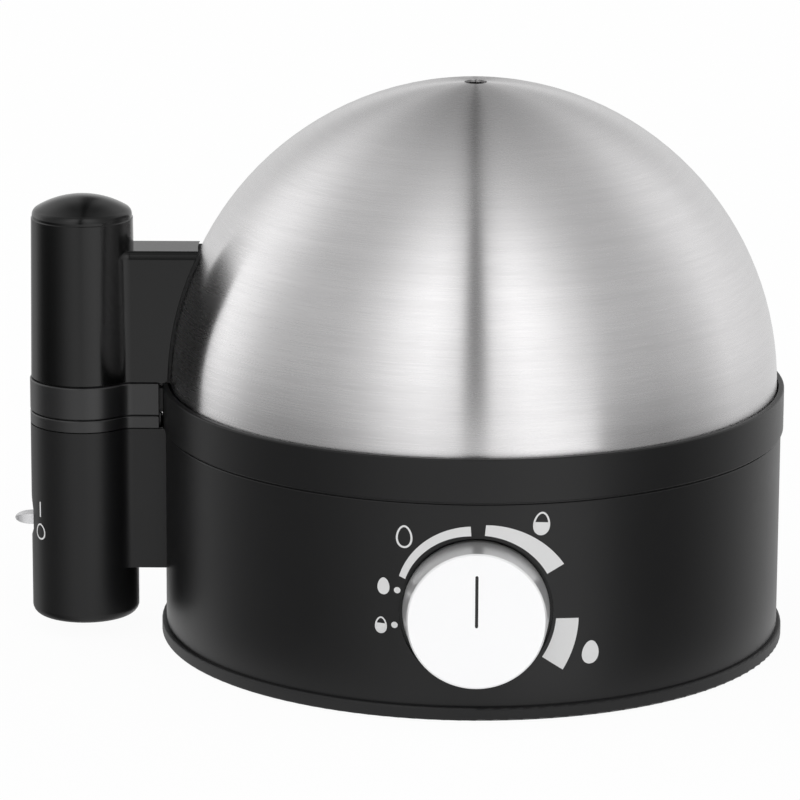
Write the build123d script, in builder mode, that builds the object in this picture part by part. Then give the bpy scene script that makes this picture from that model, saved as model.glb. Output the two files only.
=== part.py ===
from build123d import *
from math import asin, atan, cos, degrees, radians, sin
import os

# Electric egg cooker for seven eggs: a drum base with a heated dish, an egg tray, a steel dome
# and a column beside them that carries the switch and the two handles. Millimetres.
# The origin is on the drum's axis, on the table. The knob faces -Y and the column stands at -X.

os.makedirs("parts", exist_ok=True)

# Base drum, whose height follows from the knob's pad
drum_r = 101.5
wall = 2.5
rim_width = 3.7
rim_depth = 4.7
edge_round = 0.5
slip = 0.1

# Foot ring and bottom plate
foot_ring_proud = 1.5
foot_ring_width = 3.5
foot_ring_round = 0.8
floor_thickness = 2.4
ring_lift = 0.6
floor_lift = 2.6
locating_rib = 2.2
locating_rib_height = 3.0

# Deck round the heated dish
deck_thickness = 2.5
ledge_drop = 14.7
ledge_r = 64.5
ledge_width = 7.5
deck_step = 1.2

# Column, web and bands beside the drum
column_r = 17.7
column_gap = 8.4
column_lift = 5.5
column_round = 3.0
web_width = 21.0
web_lift = 23.3
web_fillet = 5.5
passage_drop = 12.7
passage_end = 0.5
band_height = 4.3
band_gap = 1.0
spigot_depth = 3.7
spigot_wall = 2.0
seam_height = 0.6
fine_seam_height = 0.4
seam_depth = 1.2
cap_boss_gap = 2.7
cap_boss_height = 1.8

# Egg tray
collar_proud = 0.8
collar_height = 14.7
lip_wall = 1.8
lip_root = 0.5
shelf_lift = 5.3
shelf_thickness = 2.4
shelf_lap = 5.0
skirt_clearance = 0.5
skirt_wall = 2.1
skirt_depth = 3.5
grip_rise = 0.6
tongue_width = 15.8
tongue_height = 6.6
tongue_length = 7.6
tongue_skin = 0.5
tray_screw_inset = 3.4
seat_width = 12.0
seat_lift = 0.4
seat_drop = 1.2

# Egg plate
sheet = 0.8
plate_inset = 5.5
egg_hole_r = 19.0
egg_pitch_r = 60.0
egg_flange = 4.0
outer_eggs = 6
rivet_count = 3
rivet_inset = 2.6
rivet_r = 1.2
rivet_head_r = 2.2
rivet_head = 0.7

# Dome
dome_sheet = 0.8
dome_clearance = 0.6
dome_sink = 0.2
steam_hole_r = 3.7

# Lid handle
grip_inset = 0.4
grip_taper = 0.6
grip_height = 53.8
shoulder_edge = 0.3
crown_side = 2.1
crown_rise = 5.0
crown_round = 2.5
bracket_height = 43.9
bracket_slip = 0.05
handle_wall = 2.4
bracket_edge = 2.5
gasket = 1.0
gasket_inset = 1.2
cover_thickness = 2.6
cover_boss_r = 4.0

# Screws
screw_r = 1.4
screw_head_r = 3.0
screw_head = 1.5
screw_slack = 0.05
lid_screw_shares = (0.39, 0.74)
lid_screw_length = 10.0
lid_boss_r = 4.0
lid_boss_lift = 0.5
bottom_screw_inset = 11.0
bottom_screw_length = 12.0
bottom_screw_turn = 15.0
bottom_screw_count = 4
bottom_boss_r = 4.0

# Rubber ring that the cooker stands on, and its rib in the floor's groove
rubber_gap = 1.8
rubber_width = 5.0
rubber_edge = 0.6
rubber_rib_width = 2.4
rubber_rib_height = 1.2

# Heated dish and what is under it
dish_clearance = 2.0
dish_throat_gap = 2.5
dish_slope = 8.5
dish_depth = 7.4
seal_thickness = 1.0
seal_width = 6.0
seal_inset = 0.5
spreader_inset = 1.0
spreader_thickness = 3.0
element_inset = 8.0
element_width = 7.0
element_height = 5.5
element_arc = 300.0
terminal_r = 2.2
terminal_drop = 10.0
thermostat_r = 8.5
thermostat_height = 9.0
strap_half = 20.0
strap_width = 10.0
strap_thickness = 1.0
strap_foot = 6.0
fuse_r = 2.2
fuse_length = 14.0
fuse_flat = 0.4

# Knob on the drum's front
knob_base_r = 23.1
knob_taper = 1.2
knob_height = 11.9
knob_chamfer = 0.5
knob_wall = 1.8
knob_gap = 1.2
hub_r = 5.6
recess_gap = 1.1
recess_depth = 3.6
pad_thickness = 2.6
pad_margin = 2.4
pad_gap_below = 1.0
pad_gap_above = 1.3
shaft_r = 3.0
shaft_flat = 2.2
shaft_length = 15.0
pointer_width = 1.0
pointer_top = 14.9
pointer_tail = 2.0
pointer_depth = 0.5
bush_r = 4.4
timer_width = 24.0
timer_height = 18.0
timer_depth = 12.0

# Switch in the column
lever_pivot_inset = 7.6
lever_z = 38.5
lever_drop = 0.9
lever_thickness = 3.4
lever_reach = 5.6
lever_width = 5.6
lever_barrel_r = 3.6
lever_heel = 4.6
lever_heel_thickness = 3.0
pin_r = 1.45
pin_slack = 0.05
slot_bottom = 35.3
slot_top = 43.4
slot_margin = 0.4
scoop_depth = 0.9
scoop_bottom = 31.6
scoop_low = 34.7
scoop_high = 40.2
scoop_top = 47.5
scoop_ease = 0.4
ear_thickness = 2.5
ear_gap = 0.3
ear_length = 9.0
ear_top = 42.0
switch_length = 12.0
switch_width = 12.0
switch_height = 17.0
switch_seat_z = 30.0
rail_width = 2.0

# Mains cord entry in the drum's back, and what the cord is joined to
cord_r = 3.5
gland_r = 5.5
gland_flange_r = 7.0
gland_nut_r = 7.5
gland_nut = 3.0
gland_flat = 0.3
gland_pad = 2.5
gland_pad_r = 9.0
terminal_block_size = (26.0, 12.0, 11.0)
terminal_block_y = 66.0
board_size = (44.0, 34.0, 1.6)
board_centre = (0.0, -50.0)
standoff_r = 2.5
standoff_height = 5.0
board_inset = 4.0
buzzer_r = 7.0
buzzer_height = 6.0
vent_length = 24.0
vent_width = 3.0
vent_pitch = 8.0
vent_count = 5

# Radii that follow from the sizes above
rim_inner_r = drum_r - rim_width
drum_inner_r = drum_r - wall
foot_ring_r = drum_r + foot_ring_proud
foot_ring_inner_r = foot_ring_r - foot_ring_width
locating_rib_r = drum_inner_r - slip
rubber_r = foot_ring_inner_r - rubber_gap
rubber_rib_r = rubber_r - (rubber_width - rubber_rib_width) / 2
bottom_screw_ring_r = drum_inner_r - bottom_screw_inset
collar_r = drum_r + collar_proud
lip_inner_r = collar_r - lip_wall
egg_plate_r = lip_inner_r - plate_inset
rivet_ring_r = egg_plate_r - rivet_inset
shelf_inner_r = egg_plate_r - shelf_lap
skirt_r = rim_inner_r - skirt_clearance
skirt_inner_r = skirt_r - skirt_wall
dome_r = lip_inner_r - dome_clearance
bracket_r = dome_r + gasket
deck_opening_r = ledge_r - ledge_width
dish_flange_r = ledge_r - dish_clearance
dish_throat_r = deck_opening_r - dish_throat_gap
dish_floor_r = dish_throat_r - dish_slope
spreader_r = dish_floor_r - spreader_inset
element_r = spreader_r - element_inset
knob_face_r = knob_base_r - knob_taper
recess_r = knob_base_r + recess_gap
pad_r = recess_r + pad_margin
column_inner_r = column_r - wall
cap_boss_r = column_inner_r - cap_boss_gap
grip_base_r = column_r - grip_inset
grip_top_r = grip_base_r - grip_taper
crown_edge_r = grip_top_r - shoulder_edge
crown_r = (crown_edge_r**2 + crown_rise**2) / (2 * crown_rise)
grip_slant = degrees(atan(grip_taper / grip_height))
lid_screw_angles = [degrees(asin(share * bracket_height / dome_r)) for share in lid_screw_shares]
lid_screw_seat_r = ((dome_r - dome_sheet) ** 2 - screw_head_r**2) ** 0.5
screw_hole_r = screw_r + screw_slack

# Heights that follow from the sizes above
floor_top = floor_lift + floor_thickness
pad_bottom_z = floor_top + locating_rib_height + pad_gap_below
knob_z = pad_bottom_z + pad_r
cord_z = pad_bottom_z + gland_pad_r
rim_top = knob_z + pad_r + pad_gap_above + deck_thickness + rim_depth
passage_top = rim_top - passage_drop
band_top = rim_top + band_height
collar_top = rim_top + collar_height
grip_split = collar_top + grip_rise
tray_grip_height = grip_split - band_top
shelf_top = rim_top + shelf_lift
shelf_bottom = shelf_top - shelf_thickness
dome_centre = collar_top - dome_sink
shoulder_z = grip_split + grip_height
crown_edge_z = shoulder_z + crown_side
crown_z = crown_edge_z + crown_rise
inner_crown_z = shoulder_z - handle_wall
ledge_z = rim_top - ledge_drop
deck_outer_z = rim_top - rim_depth
deck_inner_z = ledge_z + deck_step
flange_z = ledge_z + seal_thickness
dish_under_z = flange_z - dish_depth
spreader_under_z = dish_under_z - spreader_thickness
strap_top = spreader_under_z - thermostat_height
fuse_z = strap_top - strap_thickness - fuse_r + fuse_flat
board_z = floor_top + standoff_height
lever_centre_z = lever_z - lever_drop
tongue_z = band_top + (tray_grip_height - tongue_height) / 2
seat_z = band_top + seat_lift
seat_height = collar_height - band_height - seat_lift - seat_drop

# Places that follow from the sizes above
column_x = -(collar_r + column_gap + column_r)
band_end_x = -(collar_r + band_gap)
column_left_x = column_x - column_r
scoop_x = column_left_x + scoop_depth
recess_y = -(drum_r - recess_depth)
knob_back_y = recess_y - knob_gap
knob_face_y = knob_back_y - knob_height
pad_y = recess_y + pad_thickness
pivot_x = column_x - lever_pivot_inset
switch_x = pivot_x + lever_heel + ear_gap
gland_face_y = drum_r - gland_flat
gland_pad_y = drum_inner_r - gland_pad
tongue_root_x = -(lip_inner_r + lip_root)
tongue_end_x = band_end_x - tongue_length
tray_screw_x = band_end_x - tray_screw_inset
column_axis = Axis((column_x, 0, 0), (0, 0, 1))
knob_axis = Axis((0, 0, knob_z), (0, 1, 0))


def save(piece, name):
    piece.part.label = name
    export_step(piece.part, f"parts/{name}.step")


def beside_drum(radius, width, end_x, blend_r):
    """Outline seen from above: the column's circle and the web that runs from it to end_x."""
    with BuildSketch() as outline:
        with Locations((column_x, 0)):
            Circle(radius)
        with Locations(((column_x + end_x) / 2, 0)):
            Rectangle(end_x - column_x, width)
        if blend_r:
            fillet(outline.vertices().group_by(Axis.X)[0], blend_r)
    return outline.sketch


def ring_points(radius, count, turn):
    return [Vector(radius, 0).rotate(Axis.Z, turn + 360 / count * i) for i in range(count)]


def deck_middle(radius):
    """Height of the sloping deck's middle at this radius."""
    share = (radius - ledge_r) / (rim_inner_r - ledge_r)
    return deck_inner_z + share * (deck_outer_z - deck_inner_z) - deck_thickness / 2


def pan_screw(seat, length):
    """Screw with its head behind the seat plane and its shank in front of it."""
    with BuildPart() as screw:
        with BuildSketch(seat):
            Circle(screw_head_r)
        extrude(amount=-screw_head)
        fillet(screw.faces().sort_by(Axis(seat.origin, seat.z_dir))[0].edges(), screw_head / 2)
        with BuildSketch(seat):
            Circle(screw_r)
        extrude(amount=length)
    return screw


def grouped(pieces):
    """Like pieces kept as separate solids under one name."""
    with BuildPart() as group:
        for piece in pieces:
            add(piece.part)
    return group


def radial_plane(radius, angle):
    """Plane square to the dome's radius, at this angle above its centre on the column's side."""
    outward = Vector(-cos(radians(angle)), 0, sin(radians(angle)))
    return Plane(origin=Vector(0, 0, dome_centre) + outward * radius, z_dir=outward)


screw_spots = ring_points(bottom_screw_ring_r, bottom_screw_count, bottom_screw_turn)
rivet_spots = ring_points(rivet_ring_r, rivet_count, 0)
egg_spots = [Vector(0, 0)] + ring_points(egg_pitch_r, outer_eggs, 0)
web_in_drum = beside_drum(column_r, web_width, -drum_inner_r, web_fillet)
band_outline = beside_drum(column_r, web_width, band_end_x, web_fillet)
seam_web_width = web_width - 2 * seam_depth
seam_fillet = web_fillet + seam_depth
band_core = beside_drum(column_r - seam_depth, seam_web_width, band_end_x, seam_fillet)
passage_outline = beside_drum(column_inner_r, web_width - 2 * wall, -(drum_inner_r - wall), web_fillet)
upper_passage = beside_drum(column_inner_r, web_width - 2 * wall, -(drum_r + passage_end), web_fillet)

# Base housing: drum wall, deck, column and web in one moulding
with BuildPart() as base_housing:
    with BuildSketch(Plane.XY.offset(floor_top)):
        Circle(drum_r)
    extrude(amount=rim_top - floor_top)
    fillet(base_housing.edges().group_by(Axis.Z)[-1], edge_round)
    with BuildSketch(Plane.XY.offset(column_lift)):
        with Locations((column_x, 0)):
            Circle(column_r)
    extrude(amount=rim_top - column_lift)
    column_foot = base_housing.edges().filter_by_position(Axis.Z, column_lift - slip, column_lift + slip)
    fillet(column_foot, column_round)
    with BuildSketch(Plane.XY.offset(web_lift)):
        add(web_in_drum)
    extrude(amount=rim_top - web_lift)
    # Room under the deck, the deck's slope and the opening for the dish
    with BuildSketch(Plane.XZ):
        with BuildLine():
            Polyline(
                (0, floor_top),
                (drum_inner_r, floor_top),
                (drum_inner_r, deck_outer_z - deck_thickness),
                (rim_inner_r, deck_outer_z - deck_thickness),
                (ledge_r, ledge_z - deck_thickness),
                (deck_opening_r, ledge_z - deck_thickness),
                (deck_opening_r, ledge_z),
                (ledge_r, ledge_z),
                (ledge_r, deck_inner_z),
                (rim_inner_r, deck_outer_z),
                (rim_inner_r, rim_top),
                (0, rim_top),
                close=True,
            )
        make_face()
    revolve(axis=Axis.Z, mode=Mode.SUBTRACT)
    # Room in the column and the web, open to the drum for the wires
    with BuildSketch(Plane.XY.offset(column_lift + wall)):
        with Locations((column_x, 0)):
            Circle(column_inner_r)
    extrude(amount=rim_top - column_lift - wall, mode=Mode.SUBTRACT)
    with BuildSketch(Plane.XY.offset(web_lift + wall)):
        add(passage_outline)
    extrude(amount=passage_top - web_lift - wall, mode=Mode.SUBTRACT)
    with BuildSketch(Plane.XY.offset(passage_top)):
        add(upper_passage)
    extrude(amount=rim_top - passage_top, mode=Mode.SUBTRACT)
    # Flat pad behind the knob, its round recess and the hole for the timer's bush
    with BuildSketch(Plane.XZ.offset(-pad_y)):
        with Locations((0, knob_z)):
            Circle(pad_r)
    extrude(amount=pad_thickness)
    with BuildSketch(Plane.XZ.offset(-recess_y)):
        with Locations((0, knob_z)):
            Circle(recess_r)
    extrude(amount=2 * recess_depth, mode=Mode.SUBTRACT)
    with BuildSketch(Plane.XZ.offset(-pad_y)):
        with Locations((0, knob_z)):
            Circle(bush_r + slip)
    extrude(amount=pad_thickness, mode=Mode.SUBTRACT)
    # Flats and hole for the cord's gland
    with BuildSketch(Plane.XZ.offset(-gland_pad_y)):
        with Locations((0, cord_z)):
            Circle(gland_pad_r)
    extrude(amount=-(gland_pad + wall / 2))
    with BuildSketch(Plane.XZ.offset(-gland_face_y)):
        with Locations((0, cord_z)):
            Circle(gland_flange_r + slip)
    extrude(amount=-wall, mode=Mode.SUBTRACT)
    with BuildSketch(Plane.XZ.offset(-gland_pad_y)):
        with Locations((0, cord_z)):
            Circle(gland_r + slip)
    extrude(amount=-(gland_pad + wall), mode=Mode.SUBTRACT)
    # Bosses for the bottom screws, from the floor up into the deck
    with BuildSketch(Plane.XY.offset(floor_top)):
        with Locations(*screw_spots):
            Circle(bottom_boss_r)
            Circle(screw_hole_r, mode=Mode.SUBTRACT)
    extrude(amount=deck_middle(bottom_screw_ring_r) - floor_top)
    # Ears for the switch lever's pin and rails under the switch
    with BuildSketch(Plane.XY.offset(column_lift + wall)):
        with Locations((pivot_x, 0)):
            with GridLocations(0, lever_width + 2 * ear_gap + ear_thickness, 1, 2):
                Rectangle(ear_length, ear_thickness)
    extrude(amount=ear_top - column_lift - wall)
    with BuildSketch(Plane.XY.offset(column_lift + wall)):
        with Locations((switch_x + switch_length / 2, 0)):
            with GridLocations(0, switch_width - rail_width, 1, 2):
                Rectangle(switch_length, rail_width)
    extrude(amount=switch_seat_z - column_lift - wall)
    with BuildSketch(Plane.XZ):
        with Locations((pivot_x, lever_z)):
            Circle(pin_r)
    extrude(amount=column_inner_r, both=True, mode=Mode.SUBTRACT)
    # Finger scoop and slot for the switch lever
    with BuildSketch(Plane.XZ):
        with BuildLine():
            Line((scoop_x, scoop_low), (scoop_x, scoop_high))
            for flat_end, wall_end in ((scoop_low, scoop_bottom), (scoop_high, scoop_top)):
                ease = scoop_ease * (wall_end - flat_end)
                Bezier(
                    (scoop_x, flat_end),
                    (scoop_x, flat_end + ease),
                    (column_left_x, wall_end - ease),
                    (column_left_x, wall_end),
                )
            Polyline(
                (column_left_x, scoop_top),
                (column_left_x - wall, scoop_top),
                (column_left_x - wall, scoop_bottom),
                (column_left_x, scoop_bottom),
            )
        make_face()
    extrude(amount=column_r / 2, both=True, mode=Mode.SUBTRACT)
    with BuildSketch(Plane.YZ.offset(column_left_x - wall)):
        with Locations((0, (slot_bottom + slot_top) / 2)):
            Rectangle(lever_width + 2 * slot_margin, slot_top - slot_bottom)
    extrude(amount=3 * wall, mode=Mode.SUBTRACT)
save(base_housing, "base_housing")

# Bottom plate with the foot ring, vents and posts for the board
with BuildPart() as bottom_plate:
    with BuildSketch(Plane.XZ):
        with BuildLine():
            Polyline(
                (0, floor_lift),
                (foot_ring_inner_r, floor_lift),
                (foot_ring_inner_r, ring_lift),
                (foot_ring_r, ring_lift),
                (foot_ring_r, floor_top),
                (locating_rib_r, floor_top),
                (locating_rib_r, floor_top + locating_rib_height),
                (locating_rib_r - locating_rib, floor_top + locating_rib_height),
                (locating_rib_r - locating_rib, floor_top),
                (0, floor_top),
                close=True,
            )
        make_face()
    revolve(axis=Axis.Z)
    fillet(bottom_plate.edges().filter_by(GeomType.CIRCLE).group_by(SortBy.RADIUS)[-1], foot_ring_round)
    with BuildSketch(Plane.XY.offset(floor_lift)):
        with Locations(*screw_spots):
            Circle(screw_hole_r)
        with GridLocations(0, vent_pitch, 1, vent_count):
            SlotOverall(vent_length, vent_width)
    extrude(amount=floor_thickness, mode=Mode.SUBTRACT)
    with BuildSketch(Plane.XY.offset(floor_lift)):
        Circle(rubber_rib_r)
        Circle(rubber_rib_r - rubber_rib_width, mode=Mode.SUBTRACT)
    extrude(amount=rubber_rib_height, mode=Mode.SUBTRACT)
    with BuildSketch(Plane.XY.offset(floor_top)):
        with Locations(board_centre):
            with GridLocations(board_size[0] - 2 * board_inset, board_size[1] - 2 * board_inset, 2, 2):
                Circle(standoff_r)
    extrude(amount=standoff_height)
save(bottom_plate, "bottom_plate")

# Rubber ring under the floor, with its rib in the groove
with BuildPart() as rubber_ring:
    with BuildSketch(Plane.XY):
        Circle(rubber_r)
        Circle(rubber_r - rubber_width, mode=Mode.SUBTRACT)
    extrude(amount=floor_lift)
    chamfer(rubber_ring.faces().sort_by(Axis.Z)[0].edges(), rubber_edge)
    with BuildSketch(Plane.XY.offset(floor_lift)):
        Circle(rubber_rib_r)
        Circle(rubber_rib_r - rubber_rib_width, mode=Mode.SUBTRACT)
    extrude(amount=rubber_rib_height)
save(rubber_ring, "rubber_ring")

# Screws that hold the bottom plate
save(
    grouped([pan_screw(Plane((spot.X, spot.Y, floor_lift)), bottom_screw_length) for spot in screw_spots]),
    "bottom_screws",
)

# Band that closes the column's top, with a spigot below and a boss for the tray's handle
with BuildPart() as column_cap:
    with BuildSketch(Plane.XY.offset(rim_top)):
        add(band_outline)
    extrude(amount=band_height)
    fillet(column_cap.edges().filter_by(Plane.XY).group_by(Axis.Z)[-1], edge_round)
    with BuildSketch(Plane.XY.offset(rim_top)):
        with Locations((column_x, 0)):
            Circle(column_inner_r - slip)
            Circle(column_inner_r - slip - spigot_wall, mode=Mode.SUBTRACT)
    extrude(amount=-spigot_depth)
    with BuildSketch(Plane.XY.offset(band_top)):
        with Locations((column_x, 0)):
            Circle(cap_boss_r)
    extrude(amount=cap_boss_height)
    # Rib that closes the gap to the collar, and the seam's groove
    with BuildSketch(Plane.YZ.offset(band_end_x)):
        with Locations((0, rim_top)):
            Rectangle(seat_width, band_height, align=(Align.CENTER, Align.MIN))
    extrude(amount=band_gap / 2)
    with BuildSketch(Plane.XY.offset(rim_top)):
        add(band_outline)
        add(band_core, mode=Mode.SUBTRACT)
    extrude(amount=fine_seam_height, mode=Mode.SUBTRACT)
save(column_cap, "column_cap")

# Steel dish that boils the water
with BuildPart() as heating_dish:
    with BuildSketch(Plane.XZ):
        with BuildLine():
            Polyline(
                (0, dish_under_z),
                (dish_floor_r, dish_under_z),
                (dish_throat_r, flange_z),
                (dish_flange_r, flange_z),
                (dish_flange_r, flange_z + sheet),
                (dish_throat_r - sheet / 2, flange_z + sheet),
                (dish_floor_r - sheet / 2, dish_under_z + sheet),
                (0, dish_under_z + sheet),
                close=True,
            )
        make_face()
    revolve(axis=Axis.Z)
save(heating_dish, "heating_dish")

# Seal between the dish and the deck
with BuildPart() as dish_seal:
    with BuildSketch(Plane.XY.offset(ledge_z)):
        Circle(deck_opening_r + seal_inset + seal_width)
        Circle(deck_opening_r + seal_inset, mode=Mode.SUBTRACT)
    extrude(amount=seal_thickness)
save(dish_seal, "dish_seal")

# Plate that spreads the heat
with BuildPart() as heat_spreader:
    with BuildSketch(Plane.XY.offset(spreader_under_z)):
        Circle(spreader_r)
    extrude(amount=spreader_thickness)
save(heat_spreader, "heat_spreader")

# Heating element: a flattened tube in an open ring with two terminals
with BuildPart() as heating_element:
    with BuildSketch(Plane.XZ):
        with Locations((element_r, spreader_under_z - element_height / 2)):
            RectangleRounded(element_width, element_height, element_height / 3)
    revolve(axis=Axis.Z, revolution_arc=element_arc)
    with BuildSketch(Plane.XY.offset(spreader_under_z - element_height / 2)):
        for angle in (element_width / 2, element_arc - element_width / 2):
            with Locations((element_r * cos(radians(angle)), element_r * sin(radians(angle)))):
                Circle(terminal_r)
    extrude(amount=-terminal_drop)
save(heating_element, "heating_element")

# Thermostat under the spreader, held by a strap
with BuildPart() as thermostat:
    with BuildSketch(Plane.XY.offset(strap_top)):
        Circle(thermostat_r)
    extrude(amount=thermostat_height)
save(thermostat, "thermostat")

with BuildPart() as thermostat_strap:
    with BuildSketch(Plane.XZ):
        with BuildLine():
            Polyline(
                (-strap_half - strap_foot, spreader_under_z),
                (-strap_half - strap_foot, spreader_under_z - strap_thickness),
                (-strap_half, spreader_under_z - strap_thickness),
                (-strap_half, strap_top - strap_thickness),
                (strap_half, strap_top - strap_thickness),
                (strap_half, spreader_under_z - strap_thickness),
                (strap_half + strap_foot, spreader_under_z - strap_thickness),
                (strap_half + strap_foot, spreader_under_z),
                (strap_half - strap_thickness, spreader_under_z),
                (strap_half - strap_thickness, strap_top),
                (-strap_half + strap_thickness, strap_top),
                (-strap_half + strap_thickness, spreader_under_z),
                close=True,
            )
        make_face()
    extrude(amount=strap_width / 2, both=True)
save(thermostat_strap, "thermostat_strap")

with BuildPart() as thermal_fuse:
    with BuildSketch(Plane.YZ.offset(-fuse_length / 2)):
        with Locations((0, fuse_z)):
            Circle(fuse_r)
        with Locations((0, fuse_z + fuse_r)):
            Rectangle(2 * fuse_r, 2 * fuse_flat, mode=Mode.SUBTRACT)
    extrude(amount=fuse_length)
save(thermal_fuse, "thermal_fuse")

# Timer behind the front wall, with the bush that the knob's shaft turns in
with BuildPart() as timer_control:
    with BuildSketch(Plane.XZ.offset(-pad_y)):
        with Locations((0, knob_z)):
            Rectangle(timer_width, timer_height)
    extrude(amount=-timer_depth)
    with BuildSketch(Plane.XZ.offset(-pad_y)):
        with Locations((0, knob_z)):
            Circle(bush_r)
    extrude(amount=pad_thickness)
    with BuildSketch(Plane.XZ.offset(-recess_y)):
        with Locations((0, knob_z)):
            Circle(shaft_r + screw_slack)
    extrude(amount=-shaft_length, mode=Mode.SUBTRACT)
save(timer_control, "timer_control")

# Circuit board on its posts, with the buzzer
with BuildPart() as control_board:
    with BuildSketch(Plane.XY.offset(board_z)):
        with Locations(board_centre):
            Rectangle(board_size[0], board_size[1])
    extrude(amount=board_size[2])
save(control_board, "control_board")

with BuildPart() as buzzer:
    with BuildSketch(Plane.XY.offset(board_z + board_size[2])):
        with Locations(board_centre):
            Circle(buzzer_r)
    extrude(amount=buzzer_height)
save(buzzer, "buzzer")

# Terminal block near the cord's entry
with BuildPart() as terminal_block:
    with BuildSketch(Plane.XY.offset(floor_top)):
        with Locations((0, terminal_block_y)):
            Rectangle(terminal_block_size[0], terminal_block_size[1])
    extrude(amount=terminal_block_size[2])
save(terminal_block, "terminal_block")

# Gland for the mains cord in the drum's back
with BuildPart() as cable_gland:
    with BuildSketch(Plane.XZ.offset(-gland_pad_y)):
        with Locations((0, cord_z)):
            Circle(gland_r)
    extrude(amount=gland_pad_y - gland_face_y)
    with BuildSketch(Plane.XZ.offset(-gland_face_y)):
        with Locations((0, cord_z)):
            Circle(gland_flange_r)
    extrude(amount=gland_face_y - foot_ring_r)
    with BuildSketch(Plane.XZ.offset(-gland_pad_y)):
        with Locations((0, cord_z)):
            RegularPolygon(gland_nut_r, 6)
    extrude(amount=gland_nut)
    with BuildSketch(Plane.XZ.offset(-(gland_pad_y - gland_nut))):
        with Locations((0, cord_z)):
            Circle(cord_r)
    extrude(amount=gland_pad_y - gland_nut - foot_ring_r, mode=Mode.SUBTRACT)
save(cable_gland, "cable_gland")

# Switch and the lever's pin in the column
with BuildPart() as switch_body:
    with BuildSketch(Plane.XY.offset(switch_seat_z)):
        with Locations((switch_x + switch_length / 2, 0)):
            Rectangle(switch_length, switch_width)
    extrude(amount=switch_height)
save(switch_body, "switch_body")

with BuildPart() as lever_pin:
    with BuildSketch(Plane.XZ):
        with Locations((pivot_x, lever_z)):
            Circle(pin_r)
    extrude(amount=lever_width / 2 + ear_gap + ear_thickness, both=True)
save(lever_pin, "lever_pin")

# Switch lever: barrel on the pin, heel behind it and a rounded tongue through the slot
with BuildPart() as switch_lever:
    with BuildSketch(Plane.XZ):
        with BuildLine():
            EllipticalCenterArc(
                (column_left_x, lever_centre_z), lever_reach, lever_thickness / 2, 90, arc_size=180
            )
            Polyline(
                (column_left_x, lever_centre_z - lever_thickness / 2),
                (pivot_x, lever_centre_z - lever_thickness / 2),
                (pivot_x, lever_centre_z + lever_thickness / 2),
                (column_left_x, lever_centre_z + lever_thickness / 2),
            )
        make_face()
        with Locations((pivot_x, lever_z)):
            Circle(lever_barrel_r)
        with Locations((pivot_x + lever_heel / 2, lever_z)):
            Rectangle(lever_heel, lever_heel_thickness)
    extrude(amount=lever_width / 2, both=True)
    with BuildSketch(Plane.XY.offset(lever_z - 2 * lever_thickness)):
        with Locations((column_left_x, 0)):
            Ellipse(lever_reach, lever_width / 2)
        with Locations(((column_left_x + pivot_x + lever_heel) / 2, 0)):
            Rectangle(pivot_x + lever_heel - column_left_x, lever_width)
    extrude(amount=4 * lever_thickness, mode=Mode.INTERSECT)
    with BuildSketch(Plane.XZ):
        with Locations((pivot_x, lever_z)):
            Circle(pin_r + pin_slack)
    extrude(amount=lever_width, both=True, mode=Mode.SUBTRACT)
save(switch_lever, "switch_lever")

# Knob: a tapered cap with a hub for the flatted shaft and a slot for the pointer
with BuildPart() as knob:
    with BuildSketch(Plane.XY.offset(knob_z)):
        with BuildLine():
            Polyline(
                (0, knob_face_y),
                (knob_face_r - knob_chamfer, knob_face_y),
                (knob_face_r, knob_face_y + knob_chamfer),
                (knob_base_r, knob_back_y),
                (knob_base_r - knob_wall, knob_back_y),
                (knob_face_r - knob_wall, knob_face_y + knob_wall),
                (hub_r, knob_face_y + knob_wall),
                (hub_r, knob_back_y),
                (0, knob_back_y),
                close=True,
            )
        make_face()
    revolve(axis=knob_axis)
    with BuildSketch(Plane.XZ.offset(-knob_back_y)):
        with Locations((0, knob_z)):
            Circle(shaft_r)
        with Locations((0, knob_z + shaft_flat + shaft_r)):
            Rectangle(2 * shaft_r, 2 * shaft_r, mode=Mode.SUBTRACT)
    extrude(amount=knob_height - 2 * knob_wall, mode=Mode.SUBTRACT)
    with BuildSketch(Plane.XZ.offset(-knob_face_y)):
        with Locations((0, knob_z + (pointer_top - pointer_tail) / 2)):
            SlotOverall(pointer_top + pointer_tail, pointer_width, rotation=90)
    extrude(amount=-pointer_depth, mode=Mode.SUBTRACT)
save(knob, "knob")

with BuildPart() as knob_pointer:
    with BuildSketch(Plane.XZ.offset(-knob_face_y)):
        with Locations((0, knob_z + (pointer_top - pointer_tail) / 2)):
            SlotOverall(pointer_top + pointer_tail, pointer_width, rotation=90)
    extrude(amount=-pointer_depth)
save(knob_pointer, "knob_pointer")

# Knob's shaft, round in the bush and flatted in the hub
with BuildPart() as knob_shaft:
    with BuildSketch(Plane.XZ.offset(-knob_back_y)):
        with Locations((0, knob_z)):
            Circle(shaft_r)
    extrude(amount=-(shaft_length - recess_depth))
    with BuildSketch(Plane.XZ.offset(-knob_back_y)):
        with Locations((0, knob_z)):
            Circle(shaft_r)
        with Locations((0, knob_z + shaft_flat + shaft_r)):
            Rectangle(2 * shaft_r, 2 * shaft_r, mode=Mode.SUBTRACT)
    extrude(amount=knob_height - 2 * knob_wall)
save(knob_shaft, "knob_shaft")

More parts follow.
